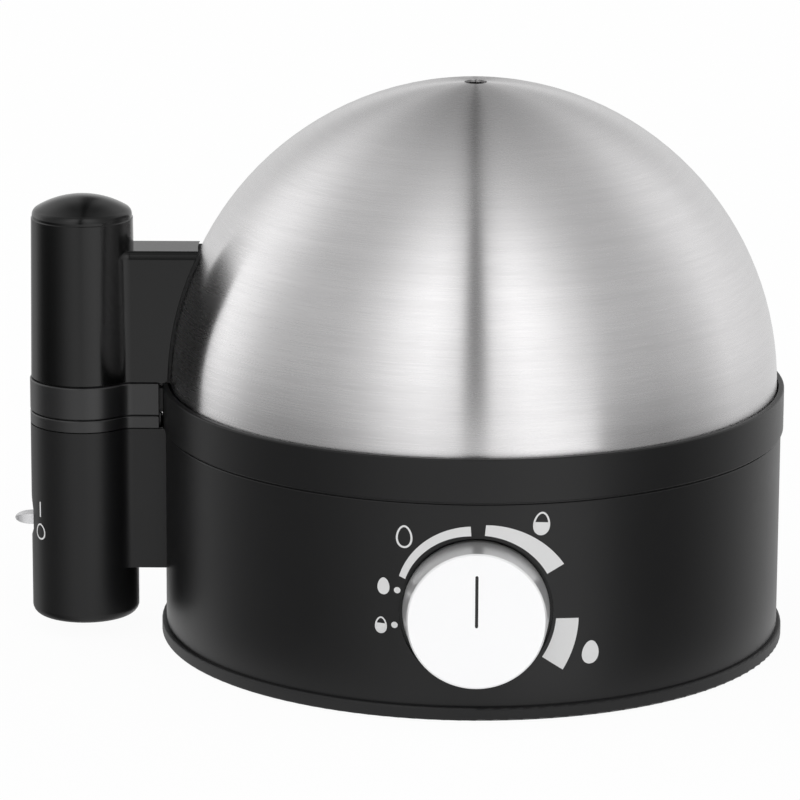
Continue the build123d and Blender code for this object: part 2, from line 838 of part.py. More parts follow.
# Egg tray's collar: wall, shelf for the plate and dome, skirt inside the drum's rim and a tongue
with BuildPart() as tray_ring:
    with BuildSketch(Plane.XZ):
        with BuildLine():
            Polyline(
                (collar_r - seam_depth, rim_top),
                (collar_r - seam_depth, rim_top + seam_height),
                (collar_r, rim_top + seam_height),
                (collar_r, collar_top),
                (lip_inner_r, collar_top),
                (lip_inner_r, shelf_top),
                (shelf_inner_r, shelf_top),
                (shelf_inner_r, shelf_bottom),
                (skirt_inner_r, shelf_bottom),
                (skirt_inner_r, rim_top - skirt_depth),
                (skirt_r, rim_top - skirt_depth),
                (skirt_r, rim_top),
                close=True,
            )
        make_face()
    revolve(axis=Axis.Z)
    fillet(tray_ring.edges().filter_by(GeomType.CIRCLE).group_by(SortBy.RADIUS)[-1], edge_round)
    with BuildSketch(Plane.YZ.offset(tongue_root_x)):
        with Locations((0, tongue_z + tongue_height / 2)):
            Rectangle(tongue_width, tongue_height)
    extrude(amount=tongue_end_x - tongue_root_x)
    # Pad that the handle's end bears on
    with BuildSketch(Plane.YZ.offset(tongue_root_x)):
        with Locations((0, seat_z)):
            Rectangle(seat_width, seat_height, align=(Align.CENTER, Align.MIN))
    extrude(amount=band_end_x - tongue_root_x)
    with BuildSketch(Plane.XY.offset(tongue_z)):
        with Locations((tray_screw_x, 0)):
            Circle(screw_hole_r)
    extrude(amount=tongue_height - tongue_skin, mode=Mode.SUBTRACT)
    with BuildSketch(Plane.XY.offset(shelf_bottom)):
        with Locations(*rivet_spots):
            Circle(rivet_r)
    extrude(amount=shelf_thickness, mode=Mode.SUBTRACT)
save(tray_ring, "tray_ring")

# Steel plate with seven flanged egg holes
with BuildPart() as egg_plate:
    with BuildSketch(Plane.XY.offset(shelf_top)):
        Circle(egg_plate_r)
    extrude(amount=sheet)
    with BuildSketch(Plane.XY.offset(shelf_top)):
        with Locations(*egg_spots):
            Circle(egg_hole_r + sheet)
    extrude(amount=-egg_flange)
    with BuildSketch(Plane.XY.offset(shelf_top + sheet)):
        with Locations(*egg_spots):
            Circle(egg_hole_r)
        with Locations(*rivet_spots):
            Circle(rivet_r)
    extrude(amount=-(sheet + egg_flange), mode=Mode.SUBTRACT)
save(egg_plate, "egg_plate")

# Rivets that hold the plate to the shelf
with BuildPart() as plate_rivets:
    with BuildSketch(Plane.XY.offset(shelf_bottom - rivet_head)):
        with Locations(*rivet_spots):
            Circle(rivet_head_r)
    extrude(amount=rivet_head)
    with BuildSketch(Plane.XY.offset(shelf_bottom)):
        with Locations(*rivet_spots):
            Circle(rivet_r)
    extrude(amount=shelf_thickness + sheet)
    with BuildSketch(Plane.XY.offset(shelf_top + sheet)):
        with Locations(*rivet_spots):
            Circle(rivet_head_r)
    extrude(amount=rivet_head)
save(plate_rivets, "plate_rivets")

# Egg tray's handle: the middle band of the column, with a pocket for the collar's tongue
with BuildPart() as tray_handle:
    with BuildSketch(Plane.XY.offset(band_top)):
        add(band_outline)
    extrude(amount=tray_grip_height)
    fillet(tray_handle.edges().filter_by(Plane.XY).group_by(Axis.Z)[-1], edge_round)
    with BuildSketch(Plane.XY.offset(band_top)):
        with Locations((column_x, 0)):
            Circle(column_inner_r)
    extrude(amount=tray_grip_height - wall, mode=Mode.SUBTRACT)
    with BuildSketch(Plane.YZ.offset(band_end_x)):
        with Locations((0, tongue_z + tongue_height / 2)):
            Rectangle(tongue_width, tongue_height)
    extrude(amount=-tongue_length, mode=Mode.SUBTRACT)
    with BuildSketch(Plane.XY.offset(band_top)):
        with Locations((tray_screw_x, 0)):
            Circle(screw_hole_r)
    extrude(amount=tongue_z - band_top, mode=Mode.SUBTRACT)
    with BuildSketch(Plane.XY.offset(band_top)):
        with Locations((tray_screw_x, 0)):
            Circle(screw_head_r + slip)
    extrude(amount=screw_head + slip, mode=Mode.SUBTRACT)
    with BuildSketch(Plane.XY.offset(band_top)):
        add(band_outline)
        add(band_core, mode=Mode.SUBTRACT)
    extrude(amount=seam_height, mode=Mode.SUBTRACT)
save(tray_handle, "tray_handle")

# Screw from the handle's underside into the tongue
tray_screw_seat = Plane((tray_screw_x, 0, band_top + screw_head + slip))
tray_screw = pan_screw(tray_screw_seat, tongue_height - 2 * tongue_skin)
save(tray_screw, "tray_screw")

# Steel dome with its steam hole
with BuildPart() as dome:
    with BuildSketch(Plane.XZ):
        with BuildLine():
            CenterArc((0, dome_centre), dome_r, 0, 90)
            Polyline((dome_r, dome_centre), (dome_r, shelf_top), (dome_r - dome_sheet, shelf_top))
            Line((dome_r - dome_sheet, shelf_top), (dome_r - dome_sheet, dome_centre))
            CenterArc((0, dome_centre), dome_r - dome_sheet, 0, 90)
            Line((0, dome_centre + dome_r - dome_sheet), (0, dome_centre + dome_r))
        make_face()
    revolve(axis=Axis.Z)
    with BuildSketch(Plane.XY.offset(dome_centre)):
        Circle(steam_hole_r)
    extrude(amount=dome_r + dome_sheet, mode=Mode.SUBTRACT)
    for angle in lid_screw_angles:
        with BuildSketch(radial_plane(dome_r, angle)):
            Circle(screw_hole_r)
        extrude(amount=2 * dome_sheet, both=True, mode=Mode.SUBTRACT)
save(dome, "dome")

# Bracket that blends into the lid's grip, with rounded upper edges
lid_outline = beside_drum(grip_base_r - bracket_slip, web_width, column_x / 2, web_fillet)
lid_core = beside_drum(grip_base_r - seam_depth, seam_web_width, column_x / 2, seam_fillet)
with BuildPart() as lid_bracket:
    with BuildSketch(Plane.XY.offset(grip_split)):
        add(lid_outline)
    extrude(amount=bracket_height, taper=grip_slant)
    fillet(lid_bracket.edges().group_by(Axis.Z)[-1], bracket_edge)

# Lid handle: tapered grip with a crown, and a bracket that follows the dome, all hollow
with BuildPart() as lid_handle:
    with BuildSketch(Plane.XZ) as grip_section:
        with BuildLine():
            Polyline(
                (column_x, crown_z),
                (column_x, grip_split),
                (column_x + grip_base_r, grip_split),
                (column_x + grip_top_r, shoulder_z - shoulder_edge),
                (column_x + crown_edge_r, shoulder_z),
                (column_x + crown_edge_r, crown_edge_z),
            )
            RadiusArc((column_x + crown_edge_r, crown_edge_z), (column_x, crown_z), -crown_r)
        make_face()
        fillet(grip_section.vertices().group_by(Axis.Y)[-2], crown_round)
    revolve(axis=column_axis)
    add(lid_bracket.part)
    with Locations((0, 0, dome_centre)):
        Sphere(bracket_r, mode=Mode.SUBTRACT)
    # Room inside the grip and the bracket
    with BuildSketch(Plane.XZ):
        with BuildLine():
            Polyline(
                (column_x, inner_crown_z),
                (column_x, grip_split),
                (column_x + grip_base_r - handle_wall, grip_split),
                (column_x + grip_top_r - handle_wall, inner_crown_z),
                close=True,
            )
        make_face()
    revolve(axis=column_axis, mode=Mode.SUBTRACT)
    with BuildSketch(Plane.XZ):
        with Locations((column_x, grip_split)):
            Rectangle(-column_x / 2, bracket_height - handle_wall, align=(Align.MIN, Align.MIN))
        with Locations((0, dome_centre)):
            Circle(bracket_r + handle_wall, mode=Mode.SUBTRACT)
    extrude(amount=web_width / 2 - handle_wall, both=True, mode=Mode.SUBTRACT)
    # Bosses for the screws from the dome and from the cover
    for angle in lid_screw_angles:
        with BuildSketch(radial_plane(bracket_r + lid_boss_lift, angle)):
            Circle(lid_boss_r)
        extrude(amount=lid_screw_length)
        with BuildSketch(radial_plane(dome_r, angle)):
            Circle(screw_hole_r)
        extrude(amount=lid_screw_length + gasket, mode=Mode.SUBTRACT)
    with BuildSketch(Plane.XY.offset(grip_split + cover_thickness)):
        with Locations((column_x, 0)):
            Circle(cover_boss_r)
            Circle(screw_hole_r, mode=Mode.SUBTRACT)
    extrude(amount=inner_crown_z - grip_split - cover_thickness)
    # Groove of the seam under the handle
    with BuildSketch(Plane.XY.offset(grip_split)):
        add(beside_drum(column_r, web_width + seam_depth, column_x / 2, 0))
        add(lid_core, mode=Mode.SUBTRACT)
    extrude(amount=seam_height, mode=Mode.SUBTRACT)
save(lid_handle, "lid_handle")

# Screws through the dome into the bracket
lid_screw_seats = [radial_plane(lid_screw_seat_r, angle) for angle in lid_screw_angles]
save(grouped([pan_screw(seat, lid_screw_length) for seat in lid_screw_seats]), "lid_screws")

# Gasket between the dome and the bracket
with BuildPart() as bracket_gasket:
    with BuildSketch(Plane.YZ.offset(-bracket_r - gasket)):
        with Locations((0, grip_split)):
            Rectangle(
                web_width - 2 * gasket_inset,
                bracket_height - gasket_inset,
                align=(Align.CENTER, Align.MIN),
            )
    extrude(amount=dome_r / 2)
    with Locations((0, 0, dome_centre)):
        Sphere(bracket_r, mode=Mode.INTERSECT)
        Sphere(dome_r, mode=Mode.SUBTRACT)
    for angle in lid_screw_angles:
        with BuildSketch(radial_plane(dome_r, angle)):
            Circle(screw_hole_r)
        extrude(amount=2 * gasket, both=True, mode=Mode.SUBTRACT)
save(bracket_gasket, "bracket_gasket")

# Cover that closes the handle from below, and its screw
cover_outline = beside_drum(
    grip_base_r - handle_wall - 2 * slip,
    web_width - 2 * handle_wall - 2 * slip,
    -(bracket_r + handle_wall + slip),
    0,
)
with BuildPart() as handle_cover:
    with BuildSketch(Plane.XY.offset(grip_split)):
        add(cover_outline)
    extrude(amount=cover_thickness)
    with BuildSketch(Plane.XY.offset(grip_split)):
        with Locations((column_x, 0)):
            Circle(screw_head_r + slip)
    extrude(amount=screw_head + slip, mode=Mode.SUBTRACT)
    with BuildSketch(Plane.XY.offset(grip_split)):
        with Locations((column_x, 0)):
            Circle(screw_hole_r)
    extrude(amount=cover_thickness, mode=Mode.SUBTRACT)
save(handle_cover, "handle_cover")

cover_screw = pan_screw(Plane((column_x, 0, grip_split + screw_head + slip)), lid_screw_length)
save(cover_screw, "cover_screw")
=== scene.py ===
import math
import bmesh
import bpy
from mathutils import Matrix, Vector


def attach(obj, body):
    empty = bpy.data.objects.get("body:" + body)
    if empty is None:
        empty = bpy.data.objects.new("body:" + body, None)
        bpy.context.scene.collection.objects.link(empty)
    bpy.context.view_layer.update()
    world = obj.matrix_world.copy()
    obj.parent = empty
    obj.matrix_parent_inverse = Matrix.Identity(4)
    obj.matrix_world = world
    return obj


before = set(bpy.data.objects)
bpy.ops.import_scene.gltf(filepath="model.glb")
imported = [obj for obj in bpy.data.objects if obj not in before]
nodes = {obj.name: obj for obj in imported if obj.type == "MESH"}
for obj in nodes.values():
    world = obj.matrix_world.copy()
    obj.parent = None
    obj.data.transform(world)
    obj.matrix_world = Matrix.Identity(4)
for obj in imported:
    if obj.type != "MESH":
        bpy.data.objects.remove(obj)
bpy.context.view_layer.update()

bpy.context.scene.view_settings.view_transform = "Standard"

# Places on the model, in metres

DRUM_R = 0.1015  # the drum's outside, round the upright axis
COLUMN_X = -0.1284  # the column's axis
COLUMN_R = 0.0177
KNOB_Z = 0.0356  # height of the knob's axis
DOME_Z = 0.0852  # height of the dome's centre
INK = 0.00010  # how far the print stands proud
MM = 1000.0  # millimetres in a metre


# Camera

CAMERA_AT = (-0.024094, -1.577355, 0.483359)
PITCH = 0.251424  # radians below the horizon
ROLL = 0.0046376
LENS = 222.01
SENSOR = 36.0
FAR_CLIP = 50.0


def place_camera():
    level_up = Vector((0.0, math.sin(PITCH), math.cos(PITCH)))
    forward = Vector((0.0, math.cos(PITCH), -math.sin(PITCH)))
    across = Vector((1.0, 0.0, 0.0))
    right = math.cos(ROLL) * across + math.sin(ROLL) * level_up
    up = math.cos(ROLL) * level_up - math.sin(ROLL) * across
    turned = Matrix([(right[i], up[i], -forward[i]) for i in range(3)])
    camera_data = bpy.data.cameras.new("camera")
    camera_data.lens = LENS
    camera_data.sensor_width = SENSOR
    camera_data.clip_end = FAR_CLIP
    camera = bpy.data.objects.new("camera", camera_data)
    bpy.context.scene.collection.objects.link(camera)
    camera.matrix_world = Matrix.Translation(CAMERA_AT) @ turned.to_4x4()
    bpy.context.scene.camera = camera


place_camera()


# Node helpers

def add(nt, kind, inputs=None, **settings):
    """A node of that kind, with its settings and its inputs: a socket is linked, a value is set."""
    made = nt.nodes.new(kind)
    for key, value in settings.items():
        setattr(made, key, value)
    for key, value in (inputs or {}).items():
        if isinstance(value, bpy.types.NodeSocket):
            nt.links.new(value, made.inputs[key])
        else:
            made.inputs[key].default_value = value
    return made


def new_material(name):
    """(material, its node tree, its Principled shader)"""
    mat = bpy.data.materials.new(name)
    mat.use_nodes = True
    nt = mat.node_tree
    nt.nodes.clear()
    out = nt.nodes.new("ShaderNodeOutputMaterial")
    shader = nt.nodes.new("ShaderNodeBsdfPrincipled")
    nt.links.new(shader.outputs["BSDF"], out.inputs["Surface"])
    return mat, nt, shader


def math_node(nt, operation, a, b=0.0):
    return add(nt, "ShaderNodeMath", {0: a, 1: b}, operation=operation).outputs[0]


def mixed(nt, a, share_a, b, share_b):
    """a and b, each times its share, added."""
    return math_node(nt, "ADD", math_node(nt, "MULTIPLY", a, share_a), math_node(nt, "MULTIPLY", b, share_b))


def noise(nt, vector, scale, detail=3.0, roughness=0.55):
    return add(nt, "ShaderNodeTexNoise",
               {"Vector": vector, "Scale": scale, "Detail": detail, "Roughness": roughness}).outputs[0]


def remap(nt, value, low, high, to_low, to_high):
    """value from low to high becomes to_low to to_high, and stays between them."""
    return add(nt, "ShaderNodeMapRange", {"Value": value, "From Min": low, "From Max": high,
                                          "To Min": to_low, "To Max": to_high}).outputs[0]


def ramp(nt, value, stops):
    """A colour ramp: stops are (place, colour)."""
    made = add(nt, "ShaderNodeValToRGB", {0: value})
    elements = made.color_ramp.elements
    while len(elements) < len(stops):
        elements.new(0.5)
    for element, (place, colour) in zip(elements, stops):
        element.position = place
        element.color = (*colour, 1.0)
    return made.outputs[0]


def shades(colour, low, low_factor, high, high_factor):
    """Two stops of a ramp: the colour times each factor, no part of it above 1."""
    return [(place, tuple(min(1.0, c * factor) for c in colour))
            for place, factor in ((low, low_factor), (high, high_factor))]


def bump(nt, shader, height, strength, depth):
    made = add(nt, "ShaderNodeBump", {"Strength": strength, "Distance": depth, "Height": height})
    nt.links.new(made.outputs[0], shader.inputs["Normal"])


def own_place(nt, scale=(1.0, 1.0, 1.0)):
    """The surface's own coordinates in metres, stretched by scale."""
    coord = add(nt, "ShaderNodeTexCoord").outputs["Object"]
    return add(nt, "ShaderNodeMapping", {"Vector": coord, "Scale": scale}).outputs[0]


def constants(shader, values):
    for socket, value in values.items():
        shader.inputs[socket].default_value = value


# Kinds of material: scales are per metre, grain, pitch and depth in metres

MIDDLE = (0.25, 0.75)  # where most of a noise's values lie
TONE = (0.30, 0.70)  # the part of a noise over which the colour changes
GLOSS_SCALE = 22.0
RUB_SCALE = 75.0
RUBBED = (0.56, 0.74)
TARNISH_SCALE = 26.0
SPOT_SCALE = 310.0
SPOTS = (0.66, 0.80)


def moulded(name, colour, rough, grain, depth, spread, specular, coat=0.0, mottle=0.12, flake=0.0, ior=1.5):
    """Moulded plastic or rubber: a fine grain, slow changes of gloss, and faint rubbed places."""
    mat, nt, shader = new_material(name)
    at = own_place(nt)
    fine = noise(nt, at, 1.0 / grain, 2.0)
    slow = noise(nt, at, GLOSS_SCALE)
    rubbed = remap(nt, noise(nt, at, RUB_SCALE, 5.0, 0.7), *RUBBED, 0.0, 1.0)
    blend = mixed(nt, fine, 0.45, slow, 0.55)
    tone = math_node(nt, "ADD", blend, math_node(nt, "MULTIPLY", rubbed, 0.10))
    nt.links.new(ramp(nt, tone, shades(colour, TONE[0], 1.0 - mottle, TONE[1], 1.0 + mottle)),
                 shader.inputs["Base Color"])
    gloss = math_node(nt, "SUBTRACT", blend, math_node(nt, "MULTIPLY", rubbed, 0.16))
    nt.links.new(remap(nt, gloss, *MIDDLE, rough - spread, rough + spread), shader.inputs["Roughness"])
    bump(nt, shader, fine, 0.5, depth)
    constants(shader, {"Specular IOR Level": specular, "IOR": ior, "Metallic": flake,
                       "Coat Weight": coat, "Coat Roughness": 0.06})
    return mat


def metal(name, colour, rough, stretch, pitch, depth, spread, tone, aniso=0.0):
    """Metal with a drawn or brushed grain: stretch is large along the axes that the lines cross."""
    mat, nt, shader = new_material(name)
    lines = noise(nt, own_place(nt, stretch), 1.0 / pitch, 3.0, 0.6)
    slow = noise(nt, own_place(nt), TARNISH_SCALE)
    spots = remap(nt, noise(nt, own_place(nt), SPOT_SCALE), *SPOTS, 0.0, 1.0)
    blend = mixed(nt, lines, 0.6, slow, 0.4)
    darker = math_node(nt, "SUBTRACT", blend, math_node(nt, "MULTIPLY", spots, 0.12))
    nt.links.new(ramp(nt, darker, shades(colour, TONE[0], 1.0 - tone, TONE[1], 1.0 + tone)),
                 shader.inputs["Base Color"])
    nt.links.new(remap(nt, blend, *MIDDLE, rough + spread, rough - spread), shader.inputs["Roughness"])
    bump(nt, shader, lines, 0.4, depth)
    constants(shader, {"Metallic": 1.0, "Anisotropic": aniso})
    return mat


def rings(nt, unit_x, unit_y, arc, around, down):
    """Coordinates in which a noise turns into rings: around and down are its scales along and across them."""
    return add(nt, "ShaderNodeCombineXYZ", {0: math_node(nt, "MULTIPLY", unit_x, around),
                                            1: math_node(nt, "MULTIPLY", unit_y, around),
                                            2: math_node(nt, "MULTIPLY", arc, down)}).outputs[0]


def brushed_dome(name, colour):
    """Stainless brushed in rings round the upright axis: lines follow the circles of latitude."""
    mat, nt, shader = new_material(name)
    coord = add(nt, "ShaderNodeTexCoord").outputs["Object"]
    offset = add(nt, "ShaderNodeVectorMath", {0: coord, 1: (0.0, 0.0, DOME_Z)}, operation="SUBTRACT").outputs[0]
    unit = add(nt, "ShaderNodeVectorMath", {0: offset}, operation="NORMALIZE").outputs[0]
    unit_x, unit_y, unit_z = add(nt, "ShaderNodeSeparateXYZ", {0: unit}).outputs
    arc = math_node(nt, "ARCCOSINE", unit_z)
    fine = noise(nt, rings(nt, unit_x, unit_y, arc, 3.0, 85.0), 3.0, 5.0, 0.65)
    broad = noise(nt, rings(nt, unit_x, unit_y, arc, 0.35, 34.0), 1.0, 4.0, 0.6)
    slow = noise(nt, unit, 2.4)
    lines = mixed(nt, fine, 0.62, broad, 0.38)
    nt.links.new(ramp(nt, lines, shades(colour, 0.30, 0.93, 0.72, 1.05)), shader.inputs["Base Color"])
    uneven = mixed(nt, lines, 0.7, slow, 0.3)
    nt.links.new(remap(nt, uneven, *MIDDLE, 0.30, 0.25), shader.inputs["Roughness"])
    bump(nt, shader, lines, 0.20, 0.000006)
    constants(shader, {"Metallic": 1.0, "Anisotropic": 1.0, "Anisotropic Rotation": 0.25})
    tangent = add(nt, "ShaderNodeTangent", direction_type="RADIAL", axis="Z")
    nt.links.new(tangent.outputs[0], shader.inputs["Tangent"])
    return mat


# One material for each slot of the model

STEEL = (0.622, 0.614, 0.618)
NO_GRAIN = (1.0, 1.0, 1.0)  # a metal whose marks run no one way
looks = {
    "base_plastic": moulded("satin_black", (0.0052, 0.0052, 0.0055), rough=0.37, grain=0.00022,
                            depth=0.000008, spread=0.04, specular=0.95, ior=1.25),
    "bottom_plastic": moulded("matt_black", (0.0090, 0.0090, 0.0094), rough=0.50, grain=0.00040,
                              depth=0.000022, spread=0.06, specular=0.28),
    "band_plastic": moulded("satin_black_bands", (0.0075, 0.0075, 0.0079), rough=0.32, grain=0.00022,
                            depth=0.000008, spread=0.04, specular=1.0, ior=1.33),
    "gloss_handle": moulded("polished_black", (0.0006, 0.0007, 0.0007), rough=0.17, grain=0.0012,
                            depth=0.000001, spread=0.02, specular=1.0, ior=1.26),
    "dome_steel": brushed_dome("brushed_dome", STEEL),
    "dish_steel": metal("drawn_dish", (0.58, 0.58, 0.57), rough=0.24, stretch=(0.08, 1.0, 1.0),
                        pitch=0.00030, depth=0.000005, spread=0.05, tone=0.05, aniso=0.3),
    "plate_steel": metal("satin_plate", (0.63, 0.63, 0.62), rough=0.30, stretch=(0.05, 1.0, 1.0),
                         pitch=0.00028, depth=0.000006, spread=0.05, tone=0.06, aniso=0.3),
    "screw_steel": metal("zinc_screw", (0.56, 0.57, 0.58), rough=0.30, stretch=NO_GRAIN,
                         pitch=0.00050, depth=0.000008, spread=0.07, tone=0.10),
    "strap_steel": metal("plain_strap", (0.58, 0.58, 0.57), rough=0.34, stretch=(0.1, 1.0, 1.0),
                         pitch=0.00040, depth=0.000006, spread=0.05, tone=0.08),
    "element_steel": metal("element_sheath", (0.34, 0.33, 0.32), rough=0.42, stretch=(1.0, 1.0, 0.3),
                           pitch=0.00060, depth=0.000012, spread=0.08, tone=0.18),
    "cast_aluminium": metal("cast_aluminium", (0.62, 0.62, 0.63), rough=0.50, stretch=NO_GRAIN,
                            pitch=0.00070, depth=0.000040, spread=0.06, tone=0.10),
    "rivet_aluminium": metal("rivet_aluminium", (0.74, 0.74, 0.75), rough=0.33, stretch=NO_GRAIN,
                             pitch=0.00045, depth=0.000008, spread=0.06, tone=0.08),
    "foot_rubber": moulded("foot_rubber", (0.020, 0.020, 0.020), rough=0.78, grain=0.00045,
                           depth=0.000030, spread=0.07, specular=0.35, mottle=0.20),
    "seal_rubber": moulded("seal_silicone", (0.50, 0.13, 0.08), rough=0.56, grain=0.00050,
                           depth=0.000020, spread=0.07, specular=0.40, mottle=0.10),
    "gasket_rubber": moulded("gasket_rubber", (0.012, 0.012, 0.012), rough=0.66, grain=0.00040,
                             depth=0.000020, spread=0.07, specular=0.40),
    "gland_rubber": moulded("gland_rubber", (0.018, 0.018, 0.018), rough=0.70, grain=0.00045,
                            depth=0.000025, spread=0.07, specular=0.38),
    "knob_silver": moulded("knob_lacquer", (0.87, 0.87, 0.875), rough=0.36, grain=0.00016,
                           depth=0.000004, spread=0.04, specular=0.50, mottle=0.012, flake=0.8),
    "lever_silver": moulded("lever_lacquer", (0.66, 0.66, 0.67), rough=0.28, grain=0.00018,
                            depth=0.000005, spread=0.05, specular=0.50, coat=0.2, mottle=0.04, flake=0.6),
    "pointer_black": moulded("pointer_black", (0.006, 0.006, 0.006), rough=0.45, grain=0.00030,
                             depth=0.000006, spread=0.05, specular=0.40),
    "shaft_brass": metal("turned_brass", (0.70, 0.52, 0.24), rough=0.30, stretch=(1.0, 6.0, 1.0),
                         pitch=0.00050, depth=0.000008, spread=0.06, tone=0.08),
    "fuse_ceramic": moulded("fuse_ceramic", (0.80, 0.77, 0.70), rough=0.55, grain=0.00050,
                            depth=0.000015, spread=0.06, specular=0.45, mottle=0.05),
    "thermostat_black": moulded("phenolic", (0.055, 0.045, 0.038), rough=0.48, grain=0.00045,
                                depth=0.000012, spread=0.07, specular=0.45, mottle=0.22),
    "board_green": moulded("solder_mask", (0.035, 0.19, 0.085), rough=0.30, grain=0.00060,
                           depth=0.000008, spread=0.06, specular=0.50, coat=0.2, mottle=0.14),
    "part_black": moulded("part_black", (0.030, 0.030, 0.031), rough=0.50, grain=0.00040,
                          depth=0.000010, spread=0.06, specular=0.42, mottle=0.16),
    "terminal_white": moulded("terminal_nylon", (0.80, 0.79, 0.74), rough=0.48, grain=0.00050,
                              depth=0.000010, spread=0.06, specular=0.45, mottle=0.04),
}
for node in nodes.values():
    for slot in node.material_slots:
        slot.material = looks[slot.name.split(".")[0]]

print_grey = moulded("printed_grey", (0.68, 0.68, 0.68), rough=0.50, grain=0.00016,
                     depth=0.000004, spread=0.05, specular=0.40, mottle=0.04)


# Printed marks, flat shapes laid on the drum and on the column

SIGNS_TURN = math.radians(52.6)  # where the column's signs face, from -Y towards -X
STRIP_ROWS = 6
SAME_POINT = 1e-7
NO_LENGTH = 1e-8
ARC_STEPS = 60
EGG_STEPS = 48
DOT_STEPS = 24
EGG_TAPER = 0.13


def on_drum(x, dz):
    radius = DRUM_R + INK
    return Vector((x, -math.sqrt(radius ** 2 - x ** 2), KNOB_Z + dz))


def on_column(side, dz):
    """side is the distance round the column from the middle of its signs."""
    angle = SIGNS_TURN + side / COLUMN_R
    radius = COLUMN_R + INK
    return Vector((COLUMN_X - radius * math.sin(angle), -radius * math.cos(angle), KNOB_Z + dz))


def printed(name, strips, surface):
    """A piece of print: strips are pairs of lines, in millimetres, with rows of faces between them."""
    mesh = bpy.data.meshes.new(name)
    bm = bmesh.new()
    for first, second in strips:
        grid = []
        for k in range(STRIP_ROWS + 1):
            t = k / STRIP_ROWS
            grid.append([bm.verts.new(surface((x1 + (x2 - x1) * t) / MM, (z1 + (z2 - z1) * t) / MM))
                         for (x1, z1), (x2, z2) in zip(first, second)])
        for a, b in zip(grid, grid[1:]):
            for i in range(len(a) - 1):
                bm.faces.new((a[i], a[i + 1], b[i + 1], b[i]))
    bmesh.ops.remove_doubles(bm, verts=bm.verts, dist=SAME_POINT)
    bmesh.ops.dissolve_degenerate(bm, edges=bm.edges, dist=NO_LENGTH)
    bmesh.ops.recalc_face_normals(bm, faces=bm.faces)
    if sum(f.normal.y * f.calc_area() for f in bm.faces) > 0.0:
        bmesh.ops.reverse_faces(bm, faces=bm.faces)
    bm.to_mesh(mesh)
    bm.free()
    for polygon in mesh.polygons:
        polygon.use_smooth = True
    piece = bpy.data.objects.new(name, mesh)
    bpy.context.scene.collection.objects.link(piece)
    piece.data.materials.append(print_grey)
    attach(piece, "base")


def along(values, t):
    """The value at t from 0 to 1 on a smooth line through two or three evenly spaced values."""
    if len(values) == 2:
        return values[0] + (values[1] - values[0]) * t
    a, b, c = values
    return 2 * (t - 0.5) * (t - 1.0) * a - 4 * t * (t - 1.0) * b + 2 * t * (t - 0.5) * c


def arc_band(inner_angles, outer_angles, inner, outer):
    """A band round the knob: angles clockwise from up, radii at its start, (middle) and end."""
    lines = []
    for angles, radii in ((inner_angles, inner), (outer_angles, outer)):
        line = []
        for i in range(ARC_STEPS + 1):
            t = i / ARC_STEPS
            angle = math.radians(angles[0] + (angles[1] - angles[0]) * t)
            radius = along(radii, t)
            line.append((radius * math.sin(angle), radius * math.cos(angle)))
        lines.append(line)
    return [tuple(lines)]


def egg_line(centre, width, height, lean=0.0, inset=0.0):
    """An egg's outline, narrow end up, as points clockwise from the top: lean is in degrees."""
    points = []
    lean = math.radians(lean)
    for i in range(EGG_STEPS + 1):
        t = 2.0 * math.pi * i / EGG_STEPS
        x = (width / 2.0 - inset) * math.sin(t) * (1.0 - EGG_TAPER * math.cos(t))
        z = (height / 2.0 - inset) * math.cos(t)
        points.append((centre[0] + x * math.cos(lean) + z * math.sin(lean),
                       centre[1] - x * math.sin(lean) + z * math.cos(lean)))
    return points


def egg_ring(centre, width, height, stroke, lean=0.0):
    return [(egg_line(centre, width, height, lean), egg_line(centre, width, height, lean, stroke))]


def egg_fill(centre, width, height, lean=0.0, inset=0.0, full_to=1.0):
    """The egg's area, up to full_to: 1 is its top, 0 its middle."""
    line = egg_line(centre, width, height, lean, inset)
    half = EGG_STEPS // 2
    start = int(round(math.acos(full_to) / (2.0 * math.pi) * EGG_STEPS))
    return [(line[start:half + 1], [line[EGG_STEPS - i] for i in range(start, half + 1)])]


def dot(centre, radius):
    half = []
    for i in range(DOT_STEPS + 1):
        t = math.pi * i / DOT_STEPS
        half.append((centre[0] + radius * math.sin(t), centre[1] + radius * math.cos(t)))
    return [(half, [(2 * centre[0] - x, z) for x, z in half])]


def stroke_up(width, bottom, top):
    """A straight upright stroke."""
    return [tuple([(side, bottom), (side, top)] for side in (-width / 2.0, width / 2.0))]


# Marks round the knob: millimetres from its axis, and degrees clockwise from up

EGG_MEDIUM = ((20.2, 28.7), 5.3, 7.6)
KEEP_MEDIUM = ((-29.75, -5.2), 3.75, 5.45)
DOT_R = 1.02

printed("mark_arc_soft", arc_band((-65.0, -3.9), (-65.0, -3.9), inner=(24.5, 25.4, 25.05),
                                  outer=(26.65, 28.05, 28.2)), on_drum)
printed("mark_arc_medium", arc_band((5.7, 61.0), (5.7, 61.0), inner=(25.3, 25.3), outer=(28.75, 31.3)), on_drum)
printed("mark_arc_hard", arc_band((95.5, 125.3), (95.1, 125.3), inner=(25.2, 25.5), outer=(32.35, 33.55)), on_drum)
printed("mark_egg_soft", egg_ring((-22.6, 24.1), 5.15, 7.4, stroke=0.62), on_drum)
printed("mark_egg_medium", egg_ring(*EGG_MEDIUM, stroke=0.6, lean=4.0)
        + egg_fill(*EGG_MEDIUM, lean=4.0, inset=0.5, full_to=0.10), on_drum)
printed("mark_egg_hard", egg_fill((36.1, -14.45), 5.3, 7.6, lean=4.0), on_drum)
printed("mark_keep_hard", egg_fill((-29.0, 7.6), 3.75, 5.5) + dot((-24.7, 6.54), DOT_R), on_drum)
printed("mark_keep_medium", egg_ring(*KEEP_MEDIUM, stroke=0.5)
        + egg_fill(*KEEP_MEDIUM, lean=2.0, inset=0.4, full_to=0.20) + dot((-25.5, -4.85), DOT_R), on_drum)

# Signs beside the lever: millimetres from their middle

